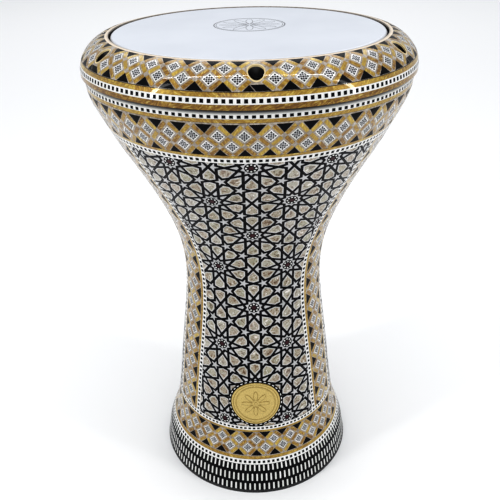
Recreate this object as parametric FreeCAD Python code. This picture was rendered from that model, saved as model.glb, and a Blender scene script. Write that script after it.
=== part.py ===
import FreeCAD
import Part

import math
import os

from FreeCAD import Vector

# Goblet drum (darbuka). Millimetres. The origin is the centre of the foot's resting plane,
# +Z runs up the drum's axis and the front, with the medallion, faces -Y.

# ---- driving dimensions: goblet -----------------------------------------------------------
shell_height = 401.0        # floor to the top of the rim flange
foot_radius = 97.6          # finished radius at the floor, over the mosaic
neck_radius = 65.0          # finished radius at the waist
neck_height = 218.0         # height of the waist
wall = 4.0                  # cast wall, measured along the radius
skin = 1.2                  # mosaic skin on the casting, measured along the radius
trim_height = 3.1           # rubber edge under the foot
trim_inset = 1.0            # how far the rubber edge reaches inside the cast wall
flange = 10.0               # thickness of the rim flange
boss_wall = 4.5             # metal round a bolt in the tapped bosses under the flange
boss_depth = 18.0           # top of the flange to the bottom of a boss

# Shape of the outline between its named stations: (share of the rise, share of the radius).
foot_curve = ((0.046, 0.056), (0.10, 0.12), (0.183, 0.328), (0.321, 0.533), (0.55, 0.718),
              (0.78, 0.908))
bowl_curve = ((0.176, 0.061), (0.396, 0.2755), (0.56, 0.496), (0.725, 0.737), (0.835, 0.878),
              (0.94, 0.99))

# ---- driving dimensions: head and ring ----------------------------------------------------
head_radius = 108.6         # outer radius of the bearing edge
bearing_wall = 3.0
bearing_rise = 27.0         # bearing edge above the flange
film = 0.4                  # head film
film_shoulder = 2.0         # inner radius of the film's bend over the bearing edge
film_gap = 0.2              # film above the bearing edge
hoop_gap = 0.7              # flesh hoop clear of the bearing wall
hoop_inner_wall = 0.7
hoop_slot = 1.9             # slot that the film's collar is cast into
hoop_outer_wall = 1.0
hoop_height = 6.5
hoop_base = 1.0
hoop_drop = 20.5            # bearing edge down to the bottom of the hoop
resin_drop = 0.5            # resin stays this far below the slot's mouth
ring_gap = 1.0              # open groove between the ring and the flange
ring_overhang = 2.8         # ring stands out past the rim
ring_skirt = 3.4            # straight outer edge of the ring
ring_rise = 26.9            # underside of the ring to its crown, over the mosaic
ring_fullness = 0.473       # roundness of the ring's outline
ring_clearance = 0.5        # ring clear of the hoop, radially
press_gap = 0.3             # ring above the hoop, at rest
ring_web = 7.8              # metal between the hoop's chamber and a bolt hole
lip_gap = 1.4               # open groove between the film and the ring's lip
flange_edge = 9.1           # bolt circle to the finished rim

# ---- driving dimensions: bolts ------------------------------------------------------------
bolt_count = 6
bolt_start_angle = 2.0      # first bolt, degrees from the front
bolt_radius = 3.0           # M6
bolt_length = 30.0
bolt_hole_gap = 0.3         # hole in the ring, past the bolt
thread_clearance = 0.05
cap_overhang = 2.0          # cap past the shank
cap_height = 6.0
cap_chamfer = 0.5
socket_flats = 5.0
socket_depth = 3.0
recess_gap = 0.2            # recess past the washer
recess_floor = 10.4         # metal under the washer, above the underside of the ring
rim_width = 0.7             # pale rim let into the mosaic round each recess
washer_thickness = 1.0
washer_overhang = 0.2       # washer past the cap
washer_hole_gap = 0.2       # washer's hole, past the bolt
cap_gap = 0.05              # cap above its washer

# ---- driving dimensions: mosaic bands -----------------------------------------------------
stripe_band_height = 28.4   # foot dashes, above the rubber edge
lower_band_height = 40.5
upper_band_height = 39.2
edging_height = 2.3         # black edging round the rim, above the mosaic
strip_half_width = 20.8
panel_count = 3
ring_edge_height = 11.7     # plain and dotted tape round the ring's skirt
ring_trim_width = 2.8       # inner trim on the lip
medallion_radius = 23.3
medallion_proud = 1.0       # medallion above the mosaic
medallion_border = 3.0
medallion_height = 98.8     # height of the medallion's centre

# ---- derived places -----------------------------------------------------------------------
boss_radius = bolt_radius + boss_wall
bolt_hole_radius = bolt_radius + bolt_hole_gap
cap_radius = bolt_radius + cap_overhang
washer_radius = cap_radius + washer_overhang
washer_hole_radius = bolt_radius + washer_hole_gap
recess_radius = washer_radius + recess_gap

hoop_bore = head_radius + hoop_gap
slot_bore = hoop_bore + hoop_inner_wall
slot_outer = slot_bore + hoop_slot
hoop_radius = slot_outer + hoop_outer_wall
lip_radius = slot_bore + film + lip_gap
chamber_radius = hoop_radius + ring_clearance
bolt_circle = chamber_radius + ring_web + bolt_hole_radius
rim_radius = bolt_circle + flange_edge
ring_radius = rim_radius + ring_overhang

bearing_height = shell_height + bearing_rise
film_height = bearing_height + film_gap
hoop_bottom = bearing_height - hoop_drop
hoop_top = hoop_bottom + hoop_height
ring_bottom = shell_height + ring_gap
ring_top = ring_bottom + ring_rise
recess_height = ring_bottom + recess_floor
cap_seat = recess_height + washer_thickness + cap_gap

stripe_top = trim_height + stripe_band_height
lower_top = stripe_top + lower_band_height
upper_top = shell_height - edging_height
upper_bottom = upper_top - upper_band_height

AXIS = Vector(0, 0, 1)
FRONT = Vector(0, -1, 0)


# ---- outline and revolving ----------------------------------------------------------------
def section_point(radius, height):
    return Vector(radius, 0, height)


def goblet_outline():
    """Finished outer outline, floor to rim, as one smooth curve."""
    points = [section_point(foot_radius, 0)]
    for rise, inward in foot_curve:
        points.append(section_point(foot_radius - inward * (foot_radius - neck_radius),
                                    rise * neck_height))
    points.append(section_point(neck_radius, neck_height))
    for rise, outward in bowl_curve:
        points.append(section_point(neck_radius + outward * (rim_radius - neck_radius),
                                    neck_height + rise * (shell_height - neck_height)))
    points.append(section_point(rim_radius, shell_height))
    curve = Part.BSplineCurve()
    curve.interpolate(Points=points)
    return curve


OUTLINE = goblet_outline()


def parameter_at(height):
    """Parameter where the outline passes a height."""
    low = OUTLINE.FirstParameter
    high = OUTLINE.LastParameter
    for _ in range(60):
        middle = (low + high) / 2
        if OUTLINE.value(middle).z < height:
            low = middle
        else:
            high = middle
    return (low + high) / 2


def outline_radius(height, inset=0.0):
    return OUTLINE.value(parameter_at(height)).x - inset


def outline_edge(inset, low, high):
    """The outline between two heights, moved inwards by inset."""
    edge = OUTLINE.toShape(parameter_at(low), parameter_at(high))
    edge.translate(Vector(-inset, 0, 0))
    return edge


def chain(points):
    """Straight edges from each point to the next."""
    return [Part.makeLine(a, b) for a, b in zip(points, points[1:])]


def arc(centre, radius, start, end):
    """Arc in the section plane, angles in degrees from +X towards +Z."""
    angles = [math.radians(a) for a in (start, (start + end) / 2, end)]
    points = [centre + Vector(radius * math.cos(a), 0, radius * math.sin(a)) for a in angles]
    return Part.Arc(*points).toShape()


def revolve(edges):
    """Full turn of a closed section about the drum's axis."""
    wire = Part.Wire(Part.__sortEdges__(edges))
    solid = Part.Face(wire).revolve(Vector(0, 0, 0), AXIS, 360)
    return solid if solid.Volume > 0 else solid.reversed()


def ring_section(inner, outer, low, high):
    """Annulus of a plain rectangular section."""
    tube = Part.makeCylinder(outer, high - low, Vector(0, 0, low))
    return tube.cut(Part.makeCylinder(inner, high - low, Vector(0, 0, low)))


def layer(inset, thickness, low, high):
    """Layer that follows the outline between two heights."""
    top = [section_point(outline_radius(high, inset), high),
           section_point(outline_radius(high, inset + thickness), high)]
    base = [section_point(outline_radius(low, inset), low),
            section_point(outline_radius(low, inset + thickness), low)]
    return revolve([outline_edge(inset, low, high), outline_edge(inset + thickness, low, high)]
                   + chain(top) + chain(base))


def one_solid(shape):
    """The solid itself, out of the group that a cut leaves round it."""
    return shape.Solids[0] if len(shape.Solids) == 1 else shape


def around(shape, angle):
    """Copy of a shape turned about the drum's axis; positive goes to the viewer's right."""
    copy = shape.copy()
    copy.rotate(Vector(0, 0, 0), AXIS, angle)
    return copy


def bolt_angles():
    return [bolt_start_angle + i * 360.0 / bolt_count for i in range(bolt_count)]


def bolt_place(height):
    return Vector(0, -bolt_circle, height)


# ---- goblet -------------------------------------------------------------------------------
def shell():
    """Cast goblet: foot, neck and bowl in one wall, rim flange, bearing edge, tapped bosses."""
    under = shell_height - flange
    crown = bearing_wall / 2
    crown_centre = section_point(head_radius - crown, bearing_height - crown)
    outer = outline_edge(skin, trim_height, shell_height)
    inner = outline_edge(skin + wall, trim_height, under)
    rim = chain([section_point(outline_radius(shell_height, skin), shell_height),
                 section_point(head_radius, shell_height),
                 section_point(head_radius, bearing_height - crown)])
    lining = chain([section_point(head_radius - bearing_wall, bearing_height - crown),
                    section_point(head_radius - bearing_wall, under),
                    section_point(outline_radius(under, skin + wall), under)])
    sole = chain([section_point(outline_radius(trim_height, skin + wall), trim_height),
                  section_point(outline_radius(trim_height, skin), trim_height)])
    body = revolve([outer, inner, arc(crown_centre, crown, 0, 180)] + rim + lining + sole)

    low = shell_height - boss_depth
    rooted = skin + wall / 2
    filled = revolve([outline_edge(rooted, low - wall, shell_height)]
                     + chain([section_point(outline_radius(shell_height, rooted), shell_height),
                              section_point(0, shell_height),
                              section_point(0, low - wall),
                              section_point(outline_radius(low - wall, rooted), low - wall)]))
    boss = Part.makeCylinder(boss_radius, boss_depth - flange / 2, bolt_place(low)).common(filled)
    hole = Part.makeCylinder(bolt_radius + thread_clearance, boss_depth, bolt_place(low))
    for angle in bolt_angles():
        body = body.fuse(around(boss, angle))
    for angle in bolt_angles():
        body = body.cut(around(hole, angle))
    return body.removeSplitter()


def foot_trim():
    """Rubber edge that the drum stands on."""
    bore = outline_radius(trim_height, skin + wall + trim_inset)
    edge = outline_edge(0, 0, trim_height)
    return revolve([edge] + chain([section_point(outline_radius(trim_height), trim_height),
                                   section_point(bore, trim_height),
                                   section_point(bore, 0),
                                   section_point(outline_radius(0), 0)]))


# ---- mosaic on the goblet -----------------------------------------------------------------
def strip_cutter(angle):
    """Slab along a radius, as wide as a border strip."""
    reach = 2 * rim_radius
    slab = Part.makeBox(2 * strip_half_width, reach, upper_bottom - lower_top,
                        Vector(-strip_half_width, -reach, lower_top))
    return around(slab, angle)


def strip_angles():
    return [(i + 0.5) * 360.0 / panel_count for i in range(panel_count)]


def medallion_plug(radius):
    """Cylinder square to the skin at the medallion's centre."""
    place = parameter_at(medallion_height)
    point = OUTLINE.value(place)
    tangent = OUTLINE.tangent(place)[0]
    normal = Vector(0, -tangent.z, -tangent.x)
    start = Vector(0, -point.x, point.z) - normal * (neck_radius / 2)
    return Part.makeCylinder(radius, neck_radius, start, normal)


def goblet_mosaic():
    """Star panels, upright border strips and the two round borders."""
    field = layer(0, skin, lower_top, upper_bottom)
    nodes = {
        "foot_stripe_band": layer(0, skin, trim_height, stripe_top),
        "lower_border_band": layer(0, skin, stripe_top, lower_top),
        "upper_border_band": layer(0, skin, upper_bottom, upper_top),
        "rim_edging": layer(0, skin, upper_top, shell_height),
    }
    panels = field
    for i, angle in enumerate(strip_angles()):
        cutter = strip_cutter(angle)
        nodes["border_strip_%d" % (i + 1)] = field.common(cutter)
        panels = panels.cut(cutter)
    for i in range(panel_count):
        direction = around(Part.Vertex(FRONT), i * 360.0 / panel_count).Point
        panel = max(panels.Solids, key=lambda solid: solid.CenterOfMass.dot(direction))
        nodes["star_panel_%d" % (i + 1)] = panel
    border_plug = medallion_plug(medallion_radius + medallion_border)
    plug = medallion_plug(medallion_radius)
    front = nodes["star_panel_1"]
    nodes["medallion_border"] = front.common(border_plug).cut(plug)
    nodes["star_panel_1"] = front.cut(border_plug)
    plate = layer(-medallion_proud, skin + medallion_proud, lower_top - skin, neck_height)
    nodes["medallion"] = plate.common(plug)
    return nodes


# ---- head ---------------------------------------------------------------------------------
def head_membrane():
    """Head film with its collar, flat over the bearing edge."""
    bend = slot_bore
    centre = section_point(bend - film_shoulder, film_height - film_shoulder)
    outside = film_shoulder + film
    end = hoop_bottom + hoop_base
    top = chain([section_point(0, film_height), section_point(0, film_height + film),
                 section_point(centre.x, film_height + film)])
    collar = chain([section_point(bend + film, centre.z), section_point(bend + film, end),
                    section_point(bend, end), section_point(bend, centre.z)])
    under = chain([section_point(centre.x, film_height), section_point(0, film_height)])
    return revolve(top + [arc(centre, outside, 90, 0)] + collar
                   + [arc(centre, film_shoulder, 0, 90)] + under)


def head_hoop():
    """Flesh hoop: a channel that the film's collar is cast into."""
    outer = ring_section(hoop_bore, hoop_radius, hoop_bottom, hoop_top)
    slot = ring_section(slot_bore, slot_outer, hoop_bottom + hoop_base, hoop_top)
    return outer.cut(slot)


def hoop_resin(membrane):
    """Cast resin that holds the collar in the hoop's slot."""
    fill = ring_section(slot_bore, slot_outer, hoop_bottom + hoop_base, hoop_top - resin_drop)
    return fill.cut(membrane)


# ---- tension ring -------------------------------------------------------------------------
def ring_curve(inset):
    """Outer edge of the ring, from its underside to its lip."""
    outer = ring_radius - inset
    top = ring_top - inset
    shoulder = ring_bottom + ring_skirt
    curve = Part.BezierCurve()
    curve.setPoles([section_point(outer, shoulder),
                    section_point(outer, shoulder + ring_fullness * (top - shoulder)),
                    section_point(lip_radius + ring_fullness * (outer - lip_radius), top),
                    section_point(lip_radius, top)])
    return chain([section_point(outer, ring_bottom),
                  section_point(outer, shoulder)]) + [curve.toShape()]


def recess(radius, bottom):
    """Cylinder at the first bolt, open past the top of the ring."""
    return Part.makeCylinder(radius, ring_rise + ring_gap, bolt_place(bottom))


def tension_ring():
    """Cast ring round the bearing edge, with its lip, hoop chamber, bolt holes and recesses."""
    press = hoop_top + press_gap
    chamber = chain([section_point(lip_radius, ring_top - skin),
                     section_point(lip_radius, press),
                     section_point(chamber_radius, press),
                     section_point(chamber_radius, ring_bottom),
                     section_point(ring_radius - skin, ring_bottom)])
    body = revolve(ring_curve(skin) + chamber)
    through = Part.makeCylinder(bolt_hole_radius, ring_rise, bolt_place(ring_bottom))
    for angle in bolt_angles():
        body = body.cut(around(through, angle))
        body = body.cut(around(recess(recess_radius, recess_height), angle))
    return body


def ring_mosaic():
    """Mosaic on the ring: edge tape, diamond band, lip trim and the pale recess rims."""
    ends = chain([section_point(ring_radius - skin, ring_bottom),
                  section_point(ring_radius, ring_bottom)])
    ends += chain([section_point(lip_radius, ring_top - skin), section_point(lip_radius, ring_top)])
    coat = revolve(ring_curve(0) + ring_curve(skin) + ends)
    edge_top = ring_bottom + ring_edge_height
    edge_slab = Part.makeCylinder(2 * ring_radius, ring_edge_height, Vector(0, 0, ring_bottom))
    trim_plug = Part.makeCylinder(lip_radius + ring_trim_width, ring_rise, Vector(0, 0, edge_top))
    band = coat.cut(edge_slab).cut(trim_plug)
    rims = []
    for angle in bolt_angles():
        mouth = around(recess(recess_radius + rim_width, recess_height), angle)
        bore = around(recess(recess_radius, recess_height), angle)
        rims.append(band.common(mouth).cut(bore))
        band = band.cut(mouth)
    return {
        "ring_edge_band": coat.common(edge_slab),
        "ring_diamond_band": band,
        "ring_inner_trim": coat.common(trim_plug),
        "recess_rims": Part.makeCompound(rims),
    }


# ---- bolts --------------------------------------------------------------------------------
def tuning_bolt():
    """Socket cap screw, at the front of the bolt circle."""
    cap = Part.makeCylinder(cap_radius, cap_height, Vector(0, 0, 0))
    rim = [edge for edge in cap.Edges if edge.BoundBox.ZMin > cap_height - cap_chamfer]
    cap = cap.makeChamfer(cap_chamfer, rim)
    corner = socket_flats / math.sqrt(3)
    hexagon = [Vector(corner * math.cos(math.radians(60 * i)),
                      corner * math.sin(math.radians(60 * i)),
                      cap_height - socket_depth) for i in range(7)]
    socket = Part.Face(Part.makePolygon(hexagon)).extrude(Vector(0, 0, socket_depth))
    shank = Part.makeCylinder(bolt_radius, bolt_length, Vector(0, 0, -bolt_length))
    bolt = cap.fuse(shank).cut(socket)
    bolt.translate(bolt_place(cap_seat))
    return bolt


def washer():
    """Plain washer on the floor of a recess."""
    disc = Part.makeCylinder(washer_radius, washer_thickness, bolt_place(recess_height))
    hole = Part.makeCylinder(washer_hole_radius, washer_thickness, bolt_place(recess_height))
    return disc.cut(hole)


# ---- assembly -----------------------------------------------------------------------------
def build():
    nodes = {"shell": shell(), "foot_trim": foot_trim()}
    nodes.update(goblet_mosaic())
    nodes["head_membrane"] = head_membrane()
    nodes["head_hoop"] = head_hoop()
    nodes["hoop_resin"] = hoop_resin(nodes["head_membrane"])
    nodes["tension_ring"] = tension_ring()
    nodes.update(ring_mosaic())
    nodes["bolt_washers"] = Part.makeCompound([around(washer(), a) for a in bolt_angles()])
    for i, angle in enumerate(bolt_angles()):
        nodes["tuning_bolt_%d" % (i + 1)] = around(tuning_bolt(), angle)
    return nodes


os.makedirs("parts", exist_ok=True)
for name, shape in build().items():
    one_solid(shape).exportStep("parts/%s.step" % name)
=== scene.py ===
"""Goblet drum: mosaic, head, clamping ring and fittings, modelled round the CAD frame."""

import logging
import math
import random
from dataclasses import dataclass
from enum import Enum, IntEnum
from typing import Callable, Iterable, Sequence

import bmesh
import bpy
import numpy as np
from mathutils import Matrix, Vector
from mathutils.bvhtree import BVHTree

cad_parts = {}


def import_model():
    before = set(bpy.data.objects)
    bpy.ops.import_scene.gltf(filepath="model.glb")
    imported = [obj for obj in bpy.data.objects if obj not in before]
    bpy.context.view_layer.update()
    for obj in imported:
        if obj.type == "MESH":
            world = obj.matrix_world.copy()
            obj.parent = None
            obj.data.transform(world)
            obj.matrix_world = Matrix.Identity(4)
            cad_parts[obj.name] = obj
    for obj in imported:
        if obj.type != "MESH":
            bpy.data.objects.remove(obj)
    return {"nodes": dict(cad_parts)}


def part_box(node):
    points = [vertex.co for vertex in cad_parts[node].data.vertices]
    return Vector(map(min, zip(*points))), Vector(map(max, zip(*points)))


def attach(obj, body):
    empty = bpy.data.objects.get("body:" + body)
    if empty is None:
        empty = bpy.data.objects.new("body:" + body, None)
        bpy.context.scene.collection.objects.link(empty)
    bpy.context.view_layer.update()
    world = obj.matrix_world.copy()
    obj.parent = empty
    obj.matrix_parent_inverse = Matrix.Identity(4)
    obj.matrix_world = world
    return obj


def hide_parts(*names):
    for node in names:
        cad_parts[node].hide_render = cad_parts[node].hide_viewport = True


LOG = logging.getLogger("goblet_drum")
MM = 0.001
TINY = 1e-5
TILE_DEPTH = 0.2
FIELD = 4.5
FEELER_TRIES = 7
FEELER_STEP = 0.9
SMOOTHING = 6
Colour = tuple[float, float, float]
Corner = tuple[float, float]


def from_screen(red: int, green: int, blue: int) -> Colour:
    """Scene-linear colour of an 8-bit screen colour."""
    shares = [value / 255 for value in (red, green, blue)]
    return tuple(s / 12.92 if s <= 0.04045 else ((s + 0.055) / 1.055) ** 2.4 for s in shares)


# ---- finishes -------------------------------------------------------------------------------
class Tone(IntEnum):
    """Kinds of inlay, in the order of a mosaic's material slots."""

    BLACK = 0
    GOLD = 1
    PETAL = 2
    RIM = 3
    GREY = 4
    WHITE = 5
    JOINT = 6
    MAROON = 7
    CORE = 8


class Recipe:
    """A material and the nodes that it is mixed from."""

    def __init__(self, name: str) -> None:
        """Starts a material with one principled shader.

        Args:
            name: the material's name.
        """
        self.material = bpy.data.materials.new(name)
        self.material.use_nodes = True
        self.tree = self.material.node_tree
        self.shader = self.tree.nodes["Principled BSDF"]

    def node(self, kind: str, **settings: object) -> bpy.types.Node:
        """Adds a node.

        Args:
            kind: the node's type.
            settings: attributes of the node by name.

        Returns:
            The new node.
        """
        node = self.tree.nodes.new(kind)
        for name, value in settings.items():
            setattr(node, name, value)
        return node

    def link(self, source: bpy.types.NodeSocket, target: bpy.types.NodeSocket) -> None:
        """Joins two sockets."""
        self.tree.links.new(source, target)

    def set(self, **values: object) -> None:
        """Sets constants on the shader's own sockets, by their names with underscores."""
        for name, value in values.items():
            self.shader.inputs[name.replace("_", " ")].default_value = value

    def place(self, scale: Sequence[float] = (1, 1, 1), turned: float = 0) -> bpy.types.NodeSocket:
        """Object coordinates, scaled, and turned tile by tile.

        Args:
            scale: the mapping's scale.
            turned: turn in radians from the lightest tile to the darkest.

        Returns:
            The coordinate socket.
        """
        socket = self.node("ShaderNodeTexCoord").outputs["Object"]
        if turned:
            turn = self.node("ShaderNodeMath", operation="MULTIPLY")
            self.link(self.shade(), turn.inputs[0])
            turn.inputs[1].default_value = turned
            rotate = self.node("ShaderNodeVectorRotate", rotation_type="AXIS_ANGLE")
            rotate.inputs["Axis"].default_value = (0.35, 0.9, 0.25)
            self.link(socket, rotate.inputs["Vector"])
            self.link(turn.outputs[0], rotate.inputs["Angle"])
            socket = rotate.outputs[0]
        mapping = self.node("ShaderNodeMapping")
        mapping.inputs["Scale"].default_value = scale
        self.link(socket, mapping.inputs["Vector"])
        return mapping.outputs[0]

    def shade(self) -> bpy.types.NodeSocket:
        """The tile's own share from 0 to 1."""
        return self.node("ShaderNodeAttribute", attribute_name="shade").outputs["Fac"]

    def noise(self, where: bpy.types.NodeSocket, scale: float, detail: float = 3,
              distortion: float = 0) -> bpy.types.NodeSocket:
        """Noise from 0 to 1.

        Args:
            where: the coordinates.
            scale: the noise's scale.
            detail: the number of octaves.
            distortion: how far the noise is pulled about.

        Returns:
            The noise's value.
        """
        noise = self.node("ShaderNodeTexNoise")
        noise.inputs["Scale"].default_value = scale
        noise.inputs["Detail"].default_value = detail
        noise.inputs["Distortion"].default_value = distortion
        self.link(where, noise.inputs["Vector"])
        return noise.outputs["Fac"]

    def ramp(self, value: bpy.types.NodeSocket,
             stops: Sequence[tuple[float, Colour]]) -> bpy.types.NodeSocket:
        """Colours along a value.

        Args:
            value: the value from 0 to 1.
            stops: places and their colours.

        Returns:
            The colour.
        """
        ramp = self.node("ShaderNodeValToRGB")
        elements = ramp.color_ramp.elements
        while len(elements) < len(stops):
            elements.new(0.5)
        for element, (position, colour) in zip(elements, stops):
            element.position = position
            element.color = (*colour, 1)
        self.link(value, ramp.inputs["Fac"])
        return ramp.outputs["Color"]

    def mix(self, share: bpy.types.NodeSocket | float, first: object, second: object,
            blend: str = "MIX") -> bpy.types.NodeSocket:
        """Mixes two colours.

        Args:
            share: how much of the second.
            first: a colour or its socket.
            second: a colour or its socket.
            blend: how they are blended.

        Returns:
            The mixed colour.
        """
        mix = self.node("ShaderNodeMix", data_type="RGBA", blend_type=blend)
        for socket, value in zip((mix.inputs[0], mix.inputs[6], mix.inputs[7]), (share, first, second)):
            if isinstance(value, bpy.types.NodeSocket):
                self.link(value, socket)
            else:
                socket.default_value = (*value, 1) if isinstance(value, tuple) else value
        return mix.outputs[2]

    def share_of(self, value: bpy.types.NodeSocket, whole: float) -> bpy.types.NodeSocket:
        """A value as a share of a whole.

        Args:
            value: the value.
            whole: what counts as a share of 1.

        Returns:
            The share.
        """
        divide = self.node("ShaderNodeMath", operation="DIVIDE")
        self.link(value, divide.inputs[0])
        divide.inputs[1].default_value = whole
        return divide.outputs[0]

    def grain(self) -> None:
        """Gives the surface a fine, shallow grain."""
        self.bump(self.noise(self.place((900, 900, 900)), 1.0, 2), 0.05, 0.0001)

    def bump(self, height: bpy.types.NodeSocket, strength: float, distance: float) -> None:
        """Raises the shader's surface.

        Args:
            height: the height from 0 to 1.
            strength: the bump's strength.
            distance: its full height in metres.
        """
        bump = self.node("ShaderNodeBump")
        bump.inputs["Strength"].default_value = strength
        bump.inputs["Distance"].default_value = distance
        self.link(height, bump.inputs["Height"])
        self.link(bump.outputs[0], self.shader.inputs["Normal"])


@dataclass(frozen=True)
class Inlay:
    """Inlay under clear lacquer: tile colours by shade, streaks within each tile."""

    name: str
    tiles: tuple[tuple[float, Colour], ...]
    streaks: tuple[tuple[float, Colour], ...]
    streak_scale: tuple[float, float, float] = (90, 90, 600)
    streak_share: float = 0.5
    roughness: float = 0.4
    metallic: float = 0.0
    turned: float = 9.0
    lacquer: float = 0.8
    gloss: float = 0.25

    def material(self) -> bpy.types.Material:
        """Mixes the inlay's material.

        Returns:
            The material.
        """
        recipe = Recipe(self.name)
        base = recipe.ramp(recipe.shade(), self.tiles)
        where = recipe.place(self.streak_scale, self.turned)
        streak = recipe.ramp(recipe.noise(where, 1.0, 4, 0.8), self.streaks)
        colour = recipe.mix(self.streak_share, base, streak)
        recipe.link(colour, recipe.shader.inputs["Base Color"])
        recipe.set(Roughness=self.roughness, Metallic=self.metallic, Specular_IOR_Level=self.gloss,
                   Coat_Weight=self.lacquer, Coat_Roughness=0.035, Coat_IOR=1.45)
        return recipe.material


@dataclass(frozen=True)
class Metal:
    """Metal with a fine cloudy or brushed surface."""

    name: str
    colour: Colour
    dark: Colour
    roughness: float
    grain: tuple[float, float, float] = (400, 400, 400)
    bump: float = 0.15
    metallic: float = 1.0
    coat: float = 0.0

    def material(self) -> bpy.types.Material:
        """Mixes the metal's material.

        Returns:
            The material.
        """
        recipe = Recipe(self.name)
        grain = recipe.noise(recipe.place(self.grain), 1.0, 5)
        recipe.link(recipe.ramp(grain, ((0.3, self.dark), (0.65, self.colour))),
                    recipe.shader.inputs["Base Color"])
        spread = recipe.node("ShaderNodeMapRange")
        spread.inputs["To Min"].default_value = self.roughness * 0.8
        spread.inputs["To Max"].default_value = self.roughness * 1.25
        recipe.link(grain, spread.inputs["Value"])
        recipe.link(spread.outputs[0], recipe.shader.inputs["Roughness"])
        recipe.bump(grain, self.bump, 0.0002)
        recipe.set(Metallic=self.metallic, Coat_Weight=self.coat, Coat_Roughness=0.05)
        return recipe.material


@dataclass(frozen=True)
class Ink:
    """Printed ink: faint clouds, satin with a soft gloss over it."""

    name: str
    light: Colour
    dark: Colour

    def material(self) -> bpy.types.Material:
        """Mixes the ink's material.

        Returns:
            The material.
        """
        recipe = Recipe(self.name)
        clouds = recipe.noise(recipe.place((14, 14, 14)), 1.0, 3)
        recipe.link(recipe.ramp(clouds, ((0.3, self.dark), (0.7, self.light))),
                    recipe.shader.inputs["Base Color"])
        recipe.grain()
        recipe.set(Roughness=0.32, Coat_Weight=0.25, Coat_Roughness=0.12)
        return recipe.material


class Measure(Enum):
    """What a line between two lacquers is measured by."""

    HEIGHT = "height"
    RADIUS = "radius"


@dataclass(frozen=True)
class Lined:
    """Lacquer with another colour beyond a line: above a height or outside a radius."""

    name: str
    measure: Measure
    line: float
    within: Colour
    beyond: Colour
    roughness: float = 0.32
    clouds: float = 14.0
    cloud_share: float = 0.08
    lacquer: float = 0.25
    span: float = 0.5

    def material(self) -> bpy.types.Material:
        """Mixes the lacquer's material.

        Returns:
            The material.
        """
        recipe = Recipe(self.name)
        where = recipe.place()
        parts = recipe.node("ShaderNodeSeparateXYZ")
        recipe.link(where, parts.inputs[0])
        reach = parts.outputs[2]
        if self.measure is Measure.RADIUS:
            flat = recipe.node("ShaderNodeCombineXYZ")
            recipe.link(parts.outputs[0], flat.inputs[0])
            recipe.link(parts.outputs[1], flat.inputs[1])
            length = recipe.node("ShaderNodeVectorMath", operation="LENGTH")
            recipe.link(flat.outputs[0], length.inputs[0])
            reach = length.outputs["Value"]
        share = self.line / self.span
        lacquers = recipe.ramp(recipe.share_of(reach, self.span),
                               ((share - TINY, self.within), (share + TINY, self.beyond)))
        clouds = recipe.noise(recipe.place((self.clouds,) * 3), 1.0, 3)
        shaded = recipe.ramp(clouds, ((0.3, from_screen(120, 122, 128)), (0.7, (1, 1, 1))))
        recipe.link(recipe.mix(self.cloud_share, lacquers, shaded), recipe.shader.inputs["Base Color"])
        recipe.grain()
        recipe.set(Roughness=self.roughness, Coat_Weight=self.lacquer, Coat_Roughness=0.1)
        return recipe.material


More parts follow.
